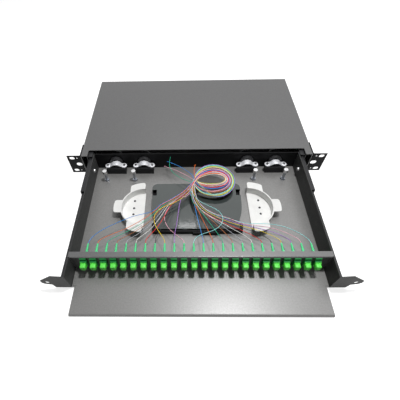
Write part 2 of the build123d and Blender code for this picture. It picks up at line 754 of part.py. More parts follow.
def gland_dome(x):
    wall = DRAWER_REAR_Y + 3.3
    end = DRAWER_REAR_Y + GLAND_REACH
    profile = [
        (GLAND_THREAD_R - 0.3, wall),
        (GLAND_NUT_R, wall),
        (GLAND_NUT_R, end - 6),
        (GLAND_BORE_R + 2.6, end),
        (GLAND_BORE_R, end),
        (GLAND_BORE_R, end - 2),
        (GLAND_THREAD_R - 0.3, end - 5),
    ]
    return turned(profile, x)


def gland_seal(x):
    end = DRAWER_REAR_Y + GLAND_REACH
    profile = [
        (SEAL_BORE_R, DRAWER_REAR_Y),
        (GLAND_BORE_R + 2, DRAWER_REAR_Y),
        (GLAND_BORE_R + 2, end - 5.2),
        (SEAL_BORE_R, end - 2.4),
    ]
    return turned(profile, x)


def clamp_bracket(x):
    # A folded stand: a front wall, a shelf for the cable and a foot to the rear
    middle_y = CLAMP_FRONT_Y + SHEET / 2
    shelf_z = CLAMP_TOP_Z - SHEET / 2
    rear_y = CLAMP_FRONT_Y + CLAMP_D
    section = folded([(rear_y, shelf_z), (middle_y, shelf_z), (middle_y, DRAWER_TOP_Z)])
    stand = along_x(section, (-CLAMP_W / 2, CLAMP_W / 2))
    for side in (-1, 1):
        ends = sorted((side * (CLAMP_W / 2 - SHEET), side * CLAMP_W / 2))
        stand += block(ends, (CLAMP_FRONT_Y + 1, rear_y), (DRAWER_TOP_Z, CLAMP_TOP_Z - 0.6))
    holes = [clamp_screw_hole(way) for way in (-1, 1)]
    return Pos(x, 0, 0) * (stand - holes)


CLAMP_SCREW_X = 15.6
CLAMP_MID_Y = CLAMP_FRONT_Y + SADDLE_D / 2 + 0.8


def clamp_screw_hole(way):
    return rod(
        SCREW_R + SCREW_PLAY,
        (way * CLAMP_SCREW_X, CLAMP_MID_Y, CLAMP_TOP_Z - 3),
        (way * CLAMP_SCREW_X, CLAMP_MID_Y, CLAMP_TOP_Z + 6),
    )


def clamp_pad(x):
    pad = block(
        (-SADDLE_W / 2 + 3, SADDLE_W / 2 - 3),
        (CLAMP_MID_Y - SADDLE_D / 2, CLAMP_MID_Y + SADDLE_D / 2),
        (CLAMP_TOP_Z, CLAMP_TOP_Z + PAD_T),
    )
    return Pos(x, 0, 0) * (pad - [clamp_screw_hole(way) for way in (-1, 1)])


def clamp_saddle(x):
    # A strap with flat ends and a raised middle that holds the cable
    low_z = CLAMP_TOP_Z + PAD_T + SADDLE_T / 2
    high_z = low_z + SADDLE_RISE
    end_x = SADDLE_W / 2 - 5
    points = [(-end_x, low_z), (-9.5, low_z), (-6.5, high_z), (6.5, high_z), (9.5, low_z), (end_x, low_z)]
    strap = along_y(
        folded(points, SADDLE_T, 1.2), (CLAMP_MID_Y - SADDLE_D / 2, CLAMP_MID_Y + SADDLE_D / 2)
    )
    for side in (-1, 1):
        eye = Pos(side * end_x, CLAMP_MID_Y) * Ellipse(5, SADDLE_D / 2)
        strap += along_z(eye, (low_z - SADDLE_T / 2, low_z + SADDLE_T / 2))
    return Pos(x, 0, 0) * (strap - [clamp_screw_hole(way) for way in (-1, 1)])


def clamp_screws(x):
    seat = CLAMP_TOP_Z + PAD_T + SADDLE_T
    return [
        pan_screw((x + way * CLAMP_SCREW_X, CLAMP_MID_Y, seat), (0, 0, -1), PAD_T + SADDLE_T + SHEET + 0.4)
        for way in (-1, 1)
    ]


def strength_post(x):
    foot_top = DRAWER_TOP_Z + 3.0
    foot = prism(5.0, (x, POST_Y, DRAWER_TOP_Z), (x, POST_Y, foot_top), 4.2)
    return foot + prism(POST_R, (x, POST_Y, foot_top - 0.2), (x, POST_Y, DRAWER_TOP_Z + POST_H - 1))


def post_cap(x):
    # A thimble nut on the head of the post
    top = DRAWER_TOP_Z + POST_H
    cap = prism(4.6, (x, POST_Y, top - 4.4), (x, POST_Y, top + 1.2), 3.9, 16)
    return cap - prism(POST_R + SCREW_PLAY, (x, POST_Y, top - 5), (x, POST_Y, top - 1))


def save_entries():
    save("gland_bodies", [gland_body(x) for x in ENTRY_X])
    save("gland_nuts", [gland_nut(x) for x in ENTRY_X])
    save("gland_domes", [gland_dome(x) for x in ENTRY_X])
    save("gland_seals", [gland_seal(x) for x in ENTRY_X])
    save("clamp_brackets", [clamp_bracket(x) for x in ENTRY_X])
    save("clamp_pads", [clamp_pad(x) for x in ENTRY_X])
    save("clamp_saddles", [clamp_saddle(x) for x in ENTRY_X])
    save("clamp_screws", [screw for x in ENTRY_X for screw in clamp_screws(x)])
    save("strength_posts", [strength_post(x) for x in POST_X])
    save("post_caps", [post_cap(x) for x in POST_X])


# Splice tray

def tray_outline(inset, front_y):
    # Rounded corners behind, and sides that bow in towards the front
    rear_y = TRAY_REAR_Y - inset
    nose = TRAY_NOSE_HALF_W - inset
    waist = TRAY_WAIST_HALF_W - inset
    half = TRAY_HALF_W - inset
    sides = []
    for way in (1, -1):
        bow = [(way * waist, TRAY_WAIST_Y), (way * (TRAY_BOW_HALF_W - inset), TRAY_BOW_Y), (way * nose, TRAY_NOSE_Y)]
        sides.append(Line((way * half, rear_y), bow[0]))
        sides.append(ThreePointArc(*bow))
        sides.append(Line(bow[2], (way * nose, front_y)))
    sides.append(Line((-half, rear_y), (half, rear_y)))
    sides.append(Line((-nose, front_y), (nose, front_y)))
    base = make_face(sides)
    rear = base.vertices().sort_by(Axis.Y)[-2:]
    return fillet(rear, TRAY_CORNER_R - inset / 2)


TRAY_GATE_Y = (-73.0, -60.0)
TRAY_TAB_X = (-7.5, 36.5)


def tray_gates(depth, z):
    # The gaps in both sides where fibre comes in
    outer = TRAY_HALF_W + 1
    return [block(sorted((side * outer, side * (TRAY_HALF_W - depth))), TRAY_GATE_Y, z) for side in (-1, 1)]


def tray_sill(low, high):
    # The solid front edge, with a foot that stands out at each end
    front = TRAY_FOOT_HALF_W - TRAY_FOOT_TAPER
    foot_inner = TRAY_NOSE_HALF_W - TRAY_WALL_T
    foot = outline([
        (foot_inner, TRAY_FOOT_Y),
        (TRAY_FOOT_HALF_W, TRAY_FOOT_Y),
        (front, TRAY_FRONT_Y),
        (foot_inner, TRAY_FRONT_Y),
    ])
    feet = along_z(foot, (low, high))
    middle = block((-foot_inner - 0.5, foot_inner + 0.5), (TRAY_FRONT_Y, TRAY_COVER_FRONT_Y), (low, high))
    return middle + feet + mirrored(feet)


def splice_tray_base():
    low = DRAWER_TOP_Z
    wall_top = low + TRAY_H
    shell = along_z(tray_outline(0, TRAY_COVER_FRONT_Y), (low, wall_top))
    shell -= along_z(
        tray_outline(TRAY_WALL_T, TRAY_COVER_FRONT_Y + TRAY_WALL_T), (low + TRAY_BASE_T, wall_top + 1)
    )
    tab = block(TRAY_TAB_X, (TRAY_FRONT_Y - 2.6, TRAY_FRONT_Y), (low, wall_top - 2.5))
    gates = tray_gates(3, (low + 4, wall_top + 1))
    return shell + tray_sill(low, wall_top - 1.5) + tab - gates


def splice_tray_cover():
    low = DRAWER_TOP_Z + TRAY_H
    lid = along_z(tray_outline(0, TRAY_COVER_FRONT_Y), (low, low + TRAY_COVER_T))
    return lid - tray_gates(9, (low - 1, low + 3))


def splice_holder(x):
    # A comb that grips the splice sleeves
    low = DRAWER_TOP_Z + TRAY_BASE_T
    comb = block((x - 12, x + 12), (-118, -74), (low, low + 5.5))
    grooves = [block((x - 13, x + 13), (y - 1.5, y + 1.5), (low + 1.5, low + 6)) for y in range(-113, -76, 6)]
    return comb - grooves


TRAY_SCREWS = ((-60.0, -62.0), (60.0, -62.0), (-60.0, -128.0), (60.0, -128.0))


def tray_screw(x, y):
    return pan_screw((x, y, DRAWER_TOP_Z + TRAY_BASE_T), (0, 0, -1), TRAY_BASE_T)


def save_splice_tray():
    holes = [screw_hole((x, y, DRAWER_TOP_Z + TRAY_BASE_T), (0, 0, -1), TRAY_BASE_T) for x, y in TRAY_SCREWS]
    save("splice_tray_base", splice_tray_base() - holes)
    save("splice_tray_cover", splice_tray_cover())
    save("splice_holders", [splice_holder(x) for x in (-34.0, 34.0)])
    save("tray_screws", [tray_screw(x, y) for x, y in TRAY_SCREWS])


# Half round fibre rings

def half_disc(radius):
    disc = Circle(radius) & (Pos(radius, 0) * Rectangle(2 * radius, 2 * radius))
    return Pos(RING_X, RING_Y) * disc


def distance_from_ring_centre(corner):
    return math.hypot(corner.X - RING_X, corner.Y - RING_Y)


def fibre_ring():
    # The right ring: a floor, a curved wall and three tabs that keep the fibre down
    low = DRAWER_TOP_Z
    top = low + RING_H
    floor = along_z(half_disc(RING_R), (low, low + RING_FLOOR_T))
    wall = along_z(half_disc(RING_R) - half_disc(RING_R - RING_WALL), (low, top))
    tab_ring = half_disc(RING_TAB_R) - half_disc(RING_R - RING_WALL)
    reach = RING_TAB_R - RING_R / 2 + 1
    middle = (RING_TAB_R + 1 + RING_R / 2) / 2
    places = [(RING_TAB_W / 2, way * middle, RING_TAB_W, reach) for way in (-1, 1)]
    places.append((middle, 0, reach, RING_TAB_W))
    ring = floor + wall
    for x, y, width, depth in places:
        window = Pos(RING_X + x, RING_Y + y) * Rectangle(width, depth)
        tab = tab_ring & window
        outer = tab.vertices().sort_by(distance_from_ring_centre)[-2:]
        ring += along_z(fillet(outer, RING_TAB_CORNER_R), (top - RING_TAB_T, top))
    hole_x = RING_X + RING_HOLE_X
    holes = [
        rod(RIVET_R + SCREW_PLAY, (hole_x, RING_Y + y, low - 1), (hole_x, RING_Y + y, low + 4))
        for y in RING_HOLES_Y
    ]
    return ring - holes


def ring_rivets():
    seat = DRAWER_TOP_Z + RING_FLOOR_T
    rivets = [
        pan_screw((RING_X + RING_HOLE_X, RING_Y + y, seat), (0, 0, -1), RING_FLOOR_T, RIVET_R, 2.1, 0.9)
        for y in RING_HOLES_Y
    ]
    return rivets + [mirrored(rivet) for rivet in rivets]


# Pigtail fibres
# Each route runs from the bundle to the tip of a boot, which ends it

TRUNK_START = (-3.0, -49.0, 32.0)
CROSSING = (-8.0, -65.0, 30.5)
TRUNK_LEFT = [TRUNK_START, CROSSING, (-20, -82, 29.5), (-40, -98, 28.5), (-58, -109, 27.5), (-76, -119, 27.5)]
TRUNK_RIGHT = [
    (-8, -68, 30.2),
    (-7, -84, 29.5),
    (-4, -100, 28.5),
    (6, -116, 27.5),
    (24, -130, 27.5),
    (50, -139, 27.5),
    (79, -143, 27.5),
]

ROUTES_LEFT = [
    [(-74, -118, 27.5), (-106, -126, 27.5), (-125, -136, 27.5), (-149, -149, 27.5), (-165, -163, 28)],
    [(-69, -115, 27.5), (-92, -135, 27.5), (-114, -150, 27.5), (-134, -159.5, 27.5), (-150, -168, 28)],
    [(-64, -113, 27.5), (-84, -135, 27.5), (-104, -151, 27.5), (-122, -161, 27.5), (-136, -169.5, 28)],
    [(-59, -110, 27.5), (-76, -135, 27.5), (-93, -151, 27.5), (-109, -162, 27.5), (-121.5, -169.5, 28)],
    [(-54, -107, 27.5), (-69, -133, 27.5), (-83, -151, 27.5), (-97, -162, 27.5), (-108, -169.5, 28)],
    [(-49, -104, 27.5), (-62, -131, 27.5), (-74, -150, 27.5), (-86, -162, 27.5), (-94.5, -169, 28)],
    [(-44, -101, 27.5), (-55, -129, 27.5), (-65.5, -149, 27.5), (-75.5, -162, 27.5), (-81, -169.5, 28)],
    [(-39, -98, 27.5), (-49, -127, 27.5), (-57.5, -148, 27.5), (-64, -161, 27.5), (-66.5, -169.5, 28)],
    [(-56, -108, 28.8), (-69, -120, 29.5), (-72, -137, 29.2), (-64, -154, 28.8), (-55, -167, 28.3)],
    [(-27, -88, 28.6), (-31, -112, 27.5), (-33, -135, 27.5), (-36, -154, 27.5), (-37.5, -167.5, 28)],
    [(-33, -92, 27.4), (-50, -110, 26.2), (-56, -130, 26), (-48, -149, 26), (-34, -162, 26.4), (-25, -170, 27.4)],
]
ROUTES_RIGHT = [
    [
        (-9, -79, 30.6),
        (2, -98, 31),
        (18, -108, 31),
        (34, -117, 30.6),
        (42, -130, 30.2),
        (38, -145, 29.8),
        (26, -155, 29.4),
        (10, -160.5, 29.2),
        (-3, -166.5, 28.8),
    ],
    [(-6, -92, 28.4), (-3, -114, 27.5), (1, -136, 27.5), (4.5, -156, 27.5), (6.5, -168, 28)],
    [(-5, -99, 27.8), (3, -120, 27.5), (11, -141, 27.5), (17.5, -158.5, 27.5), (21, -168.5, 28)],
    [(-1, -106, 27.6), (10, -124, 27.5), (21, -143, 27.5), (30, -159, 27.5), (35, -169, 28)],
    [(3, -112, 27.5), (17, -128, 27.5), (31, -145, 27.5), (43, -160, 27.5), (49.5, -169.5, 28)],
    [(9, -118, 27.5), (26, -133, 27.5), (42, -149, 27.5), (56, -162, 27.5), (64, -170, 28)],
    [(17, -125, 27.5), (36, -138, 27.5), (54, -151, 27.5), (70, -162, 27.5), (79, -170, 28)],
    [(27, -131, 27.5), (47, -143, 27.5), (66, -152.5, 27.5), (84, -163, 27.5), (93.5, -170.5, 28)],
    [(38, -135, 27.5), (59, -145, 27.5), (80, -153.5, 27.5), (98.5, -163, 27.5), (108.5, -170.5, 28)],
    [(50, -139, 27.5), (73, -147, 27.5), (95, -154, 27.5), (113.5, -163, 27.5), (123.5, -170.5, 28)],
    [(61, -140.5, 27.5), (86, -148, 27.5), (109, -154, 27.5), (128.5, -163, 27.5), (138.5, -170.5, 28)],
    [(69, -142, 27.5), (96, -145.5, 27.5), (121, -151, 27.5), (142.5, -161.5, 27.5), (153, -170, 28)],
    [(77, -143, 28.4), (103, -142, 28.4), (129, -145, 28), (150.5, -154.5, 27.8), (165, -166, 28)],
]
FREE_ENDS = [
    [(-4, -45, 33), (-14, -31, 31), (-34, -12, 28.5), (-54, 0, 26.5)],
    [(-5, -50, 31), (-24, -33, 28.5), (-43, -19, 26), (-59, -11, 24.5)],
    [(-6, -57, 30), (-31, -42, 27), (-47, -22, 25), (-50, -6, 29), (-47, 1, 37)],
    [(-3, -42, 34.5), (-4, -31, 35.5), (-1, -19, 36.5)],
]


def corner_radii(points):
    # The largest arc that two neighbouring runs allow at each corner
    radii = []
    for before, at, after in zip(points, points[1:], points[2:]):
        first = Vector(*at) - Vector(*before)
        second = Vector(*after) - Vector(*at)
        half_turn = math.radians(first.get_angle(second)) / 2
        radii.append(0.45 * min(first.length, second.length) / math.tan(half_turn))
    return radii


def tube(points, radius, sides):
    radii = corner_radii(points)
    path = FilletPolyline(*points, radius=radii)
    plane = Plane(origin=path @ 0, z_dir=path % 0)
    section = RegularPolygon(radius, sides)
    line = sweep(plane * section, path=path)
    share = line.volume / (section.area * path.length)
    print(f"tube length {path.length:.1f} smallest radius {min(radii):.1f} volume share {share:.3f}")
    return line


def boot_tip(port):
    return (PORT_X[port], BOOT_TIP_Y, ADAPTER_Z)


def outside(fibre, bundle):
    # The longest piece of a fibre that stands clear of the bundle it leaves
    return (fibre - bundle).solids().sort_by(SortBy.VOLUME)[-1]


def fan(routes, first_port, bundle):
    lines = [tube(route + [boot_tip(first_port + i)], FIBRE_R, FIBRE_SIDES) for i, route in enumerate(routes)]
    return [outside(line, bundle) for line in lines]


def pigtail_coil():
    ring = Pos(COIL_X, COIL_Y) * (Ellipse(COIL_RX, COIL_RY) - Ellipse(COIL_HOLE_RX, COIL_HOLE_RY))
    coil = along_z(ring, (COIL_BOTTOM_Z, COIL_TOP_Z))
    return chamfer(coil.edges().filter_by(GeomType.ELLIPSE), 3.5)


def save_pigtails():
    coil = pigtail_coil()
    trunk_left = outside(tube(TRUNK_LEFT, TRUNK_R, TRUNK_SIDES), coil)
    trunk_right = outside(tube(TRUNK_RIGHT, TRUNK_R - 0.2, TRUNK_SIDES), trunk_left)
    bundle = [coil, trunk_left, trunk_right]
    save("pigtails_left", fan(ROUTES_LEFT, 0, bundle))
    save("pigtails_right", fan(ROUTES_RIGHT, len(ROUTES_LEFT), bundle))
    save("pigtail_trunk_left", trunk_left)
    save("pigtail_trunk_right", trunk_right)
    save("pigtail_coil", coil)
    save("pigtail_free_ends", [outside(tube(points, FIBRE_R, FIBRE_SIDES), bundle) for points in FREE_ENDS])


def save_drawer():
    save_pair("drawer_side", drawer_side())
    save("drawer_floor", drawer_floor())
    save("drawer_rear_wall", drawer_rear_wall())
    save("adapter_panel", adapter_panel())
    save("panel_screws", panel_screws())
    save("front_plate", front_plate())
    ring = fibre_ring()
    save("fibre_ring_right", ring)
    save("fibre_ring_left", mirrored(ring))
    save("ring_rivets", ring_rivets())


os.makedirs("parts", exist_ok=True)
save_case()
save_slides()
save_drawer()
save_ports()
save_entries()
save_splice_tray()
save_pigtails()
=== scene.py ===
# A sliding fibre patch panel, dressed for its picture
# The camera and the fibres are placed in millimetres from the underside of the case, and metre() turns them
# into the frame. The lamps and the finer pieces are in metres.

import math

import bmesh
import bpy
from mathutils import Matrix, Vector


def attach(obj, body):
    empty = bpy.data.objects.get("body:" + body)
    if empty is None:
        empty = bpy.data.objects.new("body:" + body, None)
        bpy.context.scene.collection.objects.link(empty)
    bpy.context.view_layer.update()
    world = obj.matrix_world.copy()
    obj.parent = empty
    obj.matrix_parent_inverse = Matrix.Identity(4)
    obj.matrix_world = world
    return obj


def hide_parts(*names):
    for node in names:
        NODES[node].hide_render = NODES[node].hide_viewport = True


MM = 0.001
MID_Z = 21.8

# Sizes that follow the panel's own parts
PORTS = 24
PORT_PITCH = 14.85
PORT_Z = 28.0
BOOT_TIP_Y = -177.5
FIBRE_D = 0.9
PORT_X = [(i - (PORTS - 1) / 2) * PORT_PITCH for i in range(PORTS)]

# Camera, fitted to the photograph
CAMERA_AT = (-21.7, -393.6, 422.1)
CAMERA_PITCH = 54.34
CAMERA_YAW = -2.31
CAMERA_ROLL = -2.19
CAMERA_SENSOR = 36.0
CAMERA_LENS = 26.09
CAMERA_SHIFT = (0.0565, 0.0205)
CAMERA_CLIP = (0.01, 20)

# Each lamp's place, size and power
LAMPS = {
    "key": ((0.19, -0.04, 1.1), (0.09, 0.09), 9.4),
    "tube": ((0.0, 0.56, 1.1), (0.12, 0.012), 0.12),
    "soft": ((0.3, 0.4, 1.15), (1.5, 0.9), 4.5),
}
LAMPS_AIM = (0, -0.1, 0)
WORLD_LIGHT = 0.1

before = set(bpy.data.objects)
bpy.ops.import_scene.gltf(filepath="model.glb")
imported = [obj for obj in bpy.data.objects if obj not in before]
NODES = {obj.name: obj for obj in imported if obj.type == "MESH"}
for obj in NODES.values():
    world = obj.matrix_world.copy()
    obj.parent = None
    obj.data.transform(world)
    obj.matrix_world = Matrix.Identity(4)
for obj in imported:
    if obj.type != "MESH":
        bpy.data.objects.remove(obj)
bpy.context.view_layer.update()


def metre(point):
    return Vector((point[0] * MM, point[1] * MM, (point[2] - MID_Z) * MM))


def mixed(start, end, share):
    return start + (end - start) * share


# Camera and light

def make_camera():
    yaw = math.radians(CAMERA_YAW)
    pitch = math.radians(CAMERA_PITCH)
    roll = math.radians(CAMERA_ROLL)
    forward = Vector((math.sin(yaw) * math.cos(pitch), math.cos(yaw) * math.cos(pitch), -math.sin(pitch)))
    level = Vector((math.cos(yaw), -math.sin(yaw), 0))
    upright = level.cross(forward)
    right = level * math.cos(roll) + upright * math.sin(roll)
    up = upright * math.cos(roll) - level * math.sin(roll)
    data = bpy.data.cameras.new("camera")
    data.sensor_width = CAMERA_SENSOR
    data.lens = CAMERA_LENS
    data.shift_x, data.shift_y = CAMERA_SHIFT
    data.clip_start, data.clip_end = CAMERA_CLIP
    camera = bpy.data.objects.new("camera", data)
    turn = Matrix((right, up, -forward)).transposed().to_4x4()
    camera.matrix_world = Matrix.Translation(metre(CAMERA_AT)) @ turn
    bpy.context.scene.collection.objects.link(camera)
    bpy.context.scene.camera = camera


def make_lamps():
    for name, (at, size, power) in LAMPS.items():
        data = bpy.data.lights.new(name, "AREA")
        data.shape = "RECTANGLE"
        data.size, data.size_y = size
        data.energy = power
        lamp = bpy.data.objects.new(name, data)
        lamp.location = at
        lamp.rotation_euler = (Vector(LAMPS_AIM) - Vector(at)).to_track_quat("-Z", "Y").to_euler()
        lamp.visible_camera = False
        bpy.context.scene.collection.objects.link(lamp)


def background_seen(tree):
    # 1 for the rays that show the background: the camera's own, and those from glossy or clear surfaces
    path = tree.nodes.new("ShaderNodeLightPath")
    seen = path.outputs["Is Camera Ray"]
    for ray in ("Is Glossy Ray", "Is Transmission Ray"):
        either = tree.nodes.new("ShaderNodeMath")
        either.operation = "MAXIMUM"
        tree.links.new(seen, either.inputs[0])
        tree.links.new(path.outputs[ray], either.inputs[1])
        seen = either.outputs[0]
    return seen


def make_world():
    world = bpy.data.worlds.new("studio")
    bpy.context.scene.world = world
    world.use_nodes = True
    nodes = world.node_tree.nodes
    links = world.node_tree.links
    nodes.clear()
    out = nodes.new("ShaderNodeOutputWorld")
    ambient = nodes.new("ShaderNodeBackground")
    ambient.inputs["Strength"].default_value = WORLD_LIGHT
    white = nodes.new("ShaderNodeBackground")
    white.inputs["Color"].default_value = (1, 1, 1, 1)
    mix = nodes.new("ShaderNodeMixShader")
    links.new(background_seen(world.node_tree), mix.inputs[0])
    links.new(ambient.outputs[0], mix.inputs[1])
    links.new(white.outputs[0], mix.inputs[2])
    links.new(mix.outputs[0], out.inputs[0])


# Materials

def principled(name, color, roughness, metallic=0.0):
    material = bpy.data.materials.new(name)
    material.use_nodes = True
    shader = material.node_tree.nodes["Principled BSDF"]
    shader.inputs["Base Color"].default_value = (*color, 1)
    shader.inputs["Roughness"].default_value = roughness
    shader.inputs["Metallic"].default_value = metallic
    return material, shader


def noise(material, scale, detail=2.0):
    nodes = material.node_tree.nodes
    place = nodes.new("ShaderNodeTexCoord")
    texture = nodes.new("ShaderNodeTexNoise")
    texture.inputs["Scale"].default_value = scale
    texture.inputs["Detail"].default_value = detail
    material.node_tree.links.new(place.outputs["Object"], texture.inputs["Vector"])
    return texture.outputs["Fac"]


# The noise's values between which roughness and colour change
ROUGHNESS_OVER = (0.3, 0.7)
COLOR_OVER = (0.35, 0.65)


def vary_roughness(material, shader, factor, low, high):
    node = material.node_tree.nodes.new("ShaderNodeMapRange")
    node.inputs["From Min"].default_value = ROUGHNESS_OVER[0]
    node.inputs["From Max"].default_value = ROUGHNESS_OVER[1]
    node.inputs["To Min"].default_value = low
    node.inputs["To Max"].default_value = high
    material.node_tree.links.new(factor, node.inputs["Value"])
    material.node_tree.links.new(node.outputs["Result"], shader.inputs["Roughness"])


def vary_color(material, shader, factor, color, tones):
    ramp = material.node_tree.nodes.new("ShaderNodeValToRGB")
    for step, place, tone in zip(ramp.color_ramp.elements, COLOR_OVER, tones):
        step.position = place
        step.color = (*(tone * c for c in color), 1)
    material.node_tree.links.new(factor, ramp.inputs["Fac"])
    material.node_tree.links.new(ramp.outputs["Color"], shader.inputs["Base Color"])


def bump(material, shader, height, strength, distance):
    node = material.node_tree.nodes.new("ShaderNodeBump")
    node.inputs["Strength"].default_value = strength
    node.inputs["Distance"].default_value = distance
    material.node_tree.links.new(height, node.inputs["Height"])
    material.node_tree.links.new(node.outputs["Normal"], shader.inputs["Normal"])


# Powder coat: how fine its mottling and its grain are, and how strong
POWDER_MOTTLE = 480.0
POWDER_DETAIL = 4.0
POWDER_TONES = (0.91, 1.09)
POWDER_ROUGHER = 0.025
POWDER_GRAIN = 1900.0
POWDER_BUMP = (0.35, 0.00012)


def powder_coat(name, color, roughness, specular):
    # A fine pebbled skin, with a sheen and colour that vary over about two millimetres
    material, shader = principled(name, color, roughness)
    shader.inputs["Specular IOR Level"].default_value = specular
    mottle = noise(material, POWDER_MOTTLE, POWDER_DETAIL)
    vary_color(material, shader, mottle, color, POWDER_TONES)
    vary_roughness(material, shader, mottle, roughness + POWDER_ROUGHER, roughness - POWDER_ROUGHER)
    bump(material, shader, noise(material, POWDER_GRAIN), *POWDER_BUMP)
    return material


# Moulded plastic: wide clouds of colour, and a fine unevenness in its gloss and surface
PLASTIC_CLOUD = 60.0
PLASTIC_TONES = (0.93, 1.0)
PLASTIC_FINE = 700.0
PLASTIC_GLOSSIER = 0.05
PLASTIC_ROUGHER = 0.06
PLASTIC_BUMP = 0.00008


def moulded(name, color, roughness, specular=0.5, unevenness=0.12):
    material, shader = principled(name, color, roughness)
    shader.inputs["Specular IOR Level"].default_value = specular
    vary_color(material, shader, noise(material, PLASTIC_CLOUD), color, PLASTIC_TONES)
    fine = noise(material, PLASTIC_FINE)
    vary_roughness(material, shader, fine, roughness - PLASTIC_GLOSSIER, roughness + PLASTIC_ROUGHER)
    bump(material, shader, fine, unevenness, PLASTIC_BUMP)
    return material


# Metal: clouds of a darker tone, and a fine unevenness in its polish
METAL_CLOUD = 90.0
METAL_TONES = (0.8, 1.0)
METAL_FINE = 500.0
METAL_DETAIL = 3.0
METAL_GLOSSIER = 0.08
METAL_ROUGHER = 0.12
METAL_BUMP = (0.1, 0.00005)


def metal(name, color, roughness, metallic=1.0):
    material, shader = principled(name, color, roughness, metallic)
    fine = noise(material, METAL_FINE, METAL_DETAIL)
    vary_roughness(material, shader, fine, roughness - METAL_GLOSSIER, roughness + METAL_ROUGHER)
    vary_color(material, shader, noise(material, METAL_CLOUD, METAL_DETAIL), color, METAL_TONES)
    bump(material, shader, fine, *METAL_BUMP)
    return material


# One black powder coat, given in lit and shaded copies. The drawer floor and front plate are painted much
# lighter than the black, as a painted sheen of the overhead light
POWDER_PAINTED_SHEEN = powder_coat("powder_black", (0.176, 0.174, 0.17), 0.38, 1.0)
# The adapter panel: the same black paint, darker than the floor's copy, as painted shade on its face
PANEL_POWDER_PAINTED_SHADE = powder_coat("panel_powder_painted_shade", (0.08, 0.08, 0.081), 0.34, 1.0)
# The cover and chassis floor: the same black paint, darker than the drawer floor's copy, as painted shade
# where less light falls
COVER_POWDER_PAINTED_SHADE = powder_coat("cover_powder_painted_shade", (0.078, 0.078, 0.079), 0.38, 1.0)
# The drawer's sides: the same black paint made darker still, as painted shade
WALL_POWDER_PAINTED_SHADE = powder_coat("wall_black_painted_shade", (0.055, 0.056, 0.055), 0.45, 0.12)
# The rack ears and the drawer's rear wall: the same black paint made nearly black, as painted shade where the
# light does not reach
POWDER_PAINTED_DEEP_SHADE = powder_coat("powder_painted_deep_shade", (0.012, 0.012, 0.013), 0.5, 0.1)
BRACKET_BLACK = powder_coat("bracket_black", (0.02, 0.02, 0.022), 0.45, 0.2)
SLIDE_BLACK = powder_coat("slide_black", (0.02, 0.02, 0.022), 0.4, 0.3)
BRIGHT = metal("bright_steel", (0.82, 0.82, 0.83), 0.22)
BLACK_STEEL = metal("black_steel", (0.06, 0.06, 0.065), 0.35)
POST_STEEL = metal("post_steel", (0.4, 0.42, 0.46), 0.3)
SADDLE = metal("saddle_steel", (0.95, 0.96, 1.0), 0.34, 0.35)
RUBBER = moulded("rubber_black", (0.02, 0.02, 0.022), 0.6)
GLAND = moulded("gland_black", (0.022, 0.022, 0.024), 0.42)
# The adapters: the caps' green made much darker, as painted shade on faces that look away from the light
ADAPTER_PAINTED_SHADE = moulded("adapter_green", (0.02, 0.24, 0.06), 0.45, 0.15)
CAP = moulded("cap_green", (0.14, 0.88, 0.1), 0.4, 0.35)
CONNECTOR = moulded("connector_green", (0.06, 0.6, 0.25), 0.4, 0.3)
BOOT = moulded("boot_mint", (0.15, 0.85, 0.38), 0.6, 0.2)
TRAY = moulded("tray_black", (0.012, 0.012, 0.013), 0.5, 0.1)
TRAY_LID = moulded("tray_lid_smoke", (0.045, 0.056, 0.054), 0.1, 0.5, 0.02)
# Near-black for the screws' cross recesses: painted shade
RECESS_PAINTED_SHADE = principled("recess_painted_shade", (0.01, 0.01, 0.011), 0.6)[0]
RING = moulded("ring_white", (0.88, 0.88, 0.865), 0.5, 0.25)

NODE_MATERIALS = {
    POWDER_PAINTED_SHEEN: ["drawer_floor", "front_plate"],
    PANEL_POWDER_PAINTED_SHADE: ["adapter_panel"],
    COVER_POWDER_PAINTED_SHADE: ["chassis_cover", "chassis_floor"],
    WALL_POWDER_PAINTED_SHADE: ["drawer_side_left", "drawer_side_right"],
    POWDER_PAINTED_DEEP_SHADE: ["rack_ear_left", "rack_ear_right", "drawer_rear_wall"],
    BRACKET_BLACK: ["clamp_brackets"],
    SLIDE_BLACK: ["slide_bracket_left", "slide_bracket_right", "slide_outer_left", "slide_outer_right",
                  "slide_middle_left", "slide_middle_right", "slide_inner_left", "slide_inner_right",
                  "outer_ball_cage_left", "outer_ball_cage_right", "inner_ball_cage_left",
                  "inner_ball_cage_right"],
    BRIGHT: ["floor_screws", "ear_screws", "bracket_screws", "outer_slide_screws", "inner_slide_screws",
             "clamp_screws", "post_caps"],
    BLACK_STEEL: ["panel_screws", "tray_screws", "ring_rivets"],
    POST_STEEL: ["strength_posts"],
    SADDLE: ["clamp_saddles"],
    RUBBER: ["clamp_pads", "gland_seals"],
    GLAND: ["gland_bodies", "gland_nuts", "gland_domes"],
    ADAPTER_PAINTED_SHADE: ["adapters"],
    CAP: ["dust_caps"],
    CONNECTOR: ["pigtail_connectors"],
    BOOT: ["pigtail_boots"],
    TRAY: ["splice_tray_base", "splice_holders"],
    TRAY_LID: ["splice_tray_cover"],
    RING: ["fibre_ring_left", "fibre_ring_right"],
}


def dress_nodes():
    for material, names in NODE_MATERIALS.items():
        for name in names:
            mesh = NODES[name].data
            mesh.materials.clear()
            mesh.materials.append(material)


# Pigtail fibres
# A trunk runs from the coil's neck to each side, and a route from the trunk to each boot

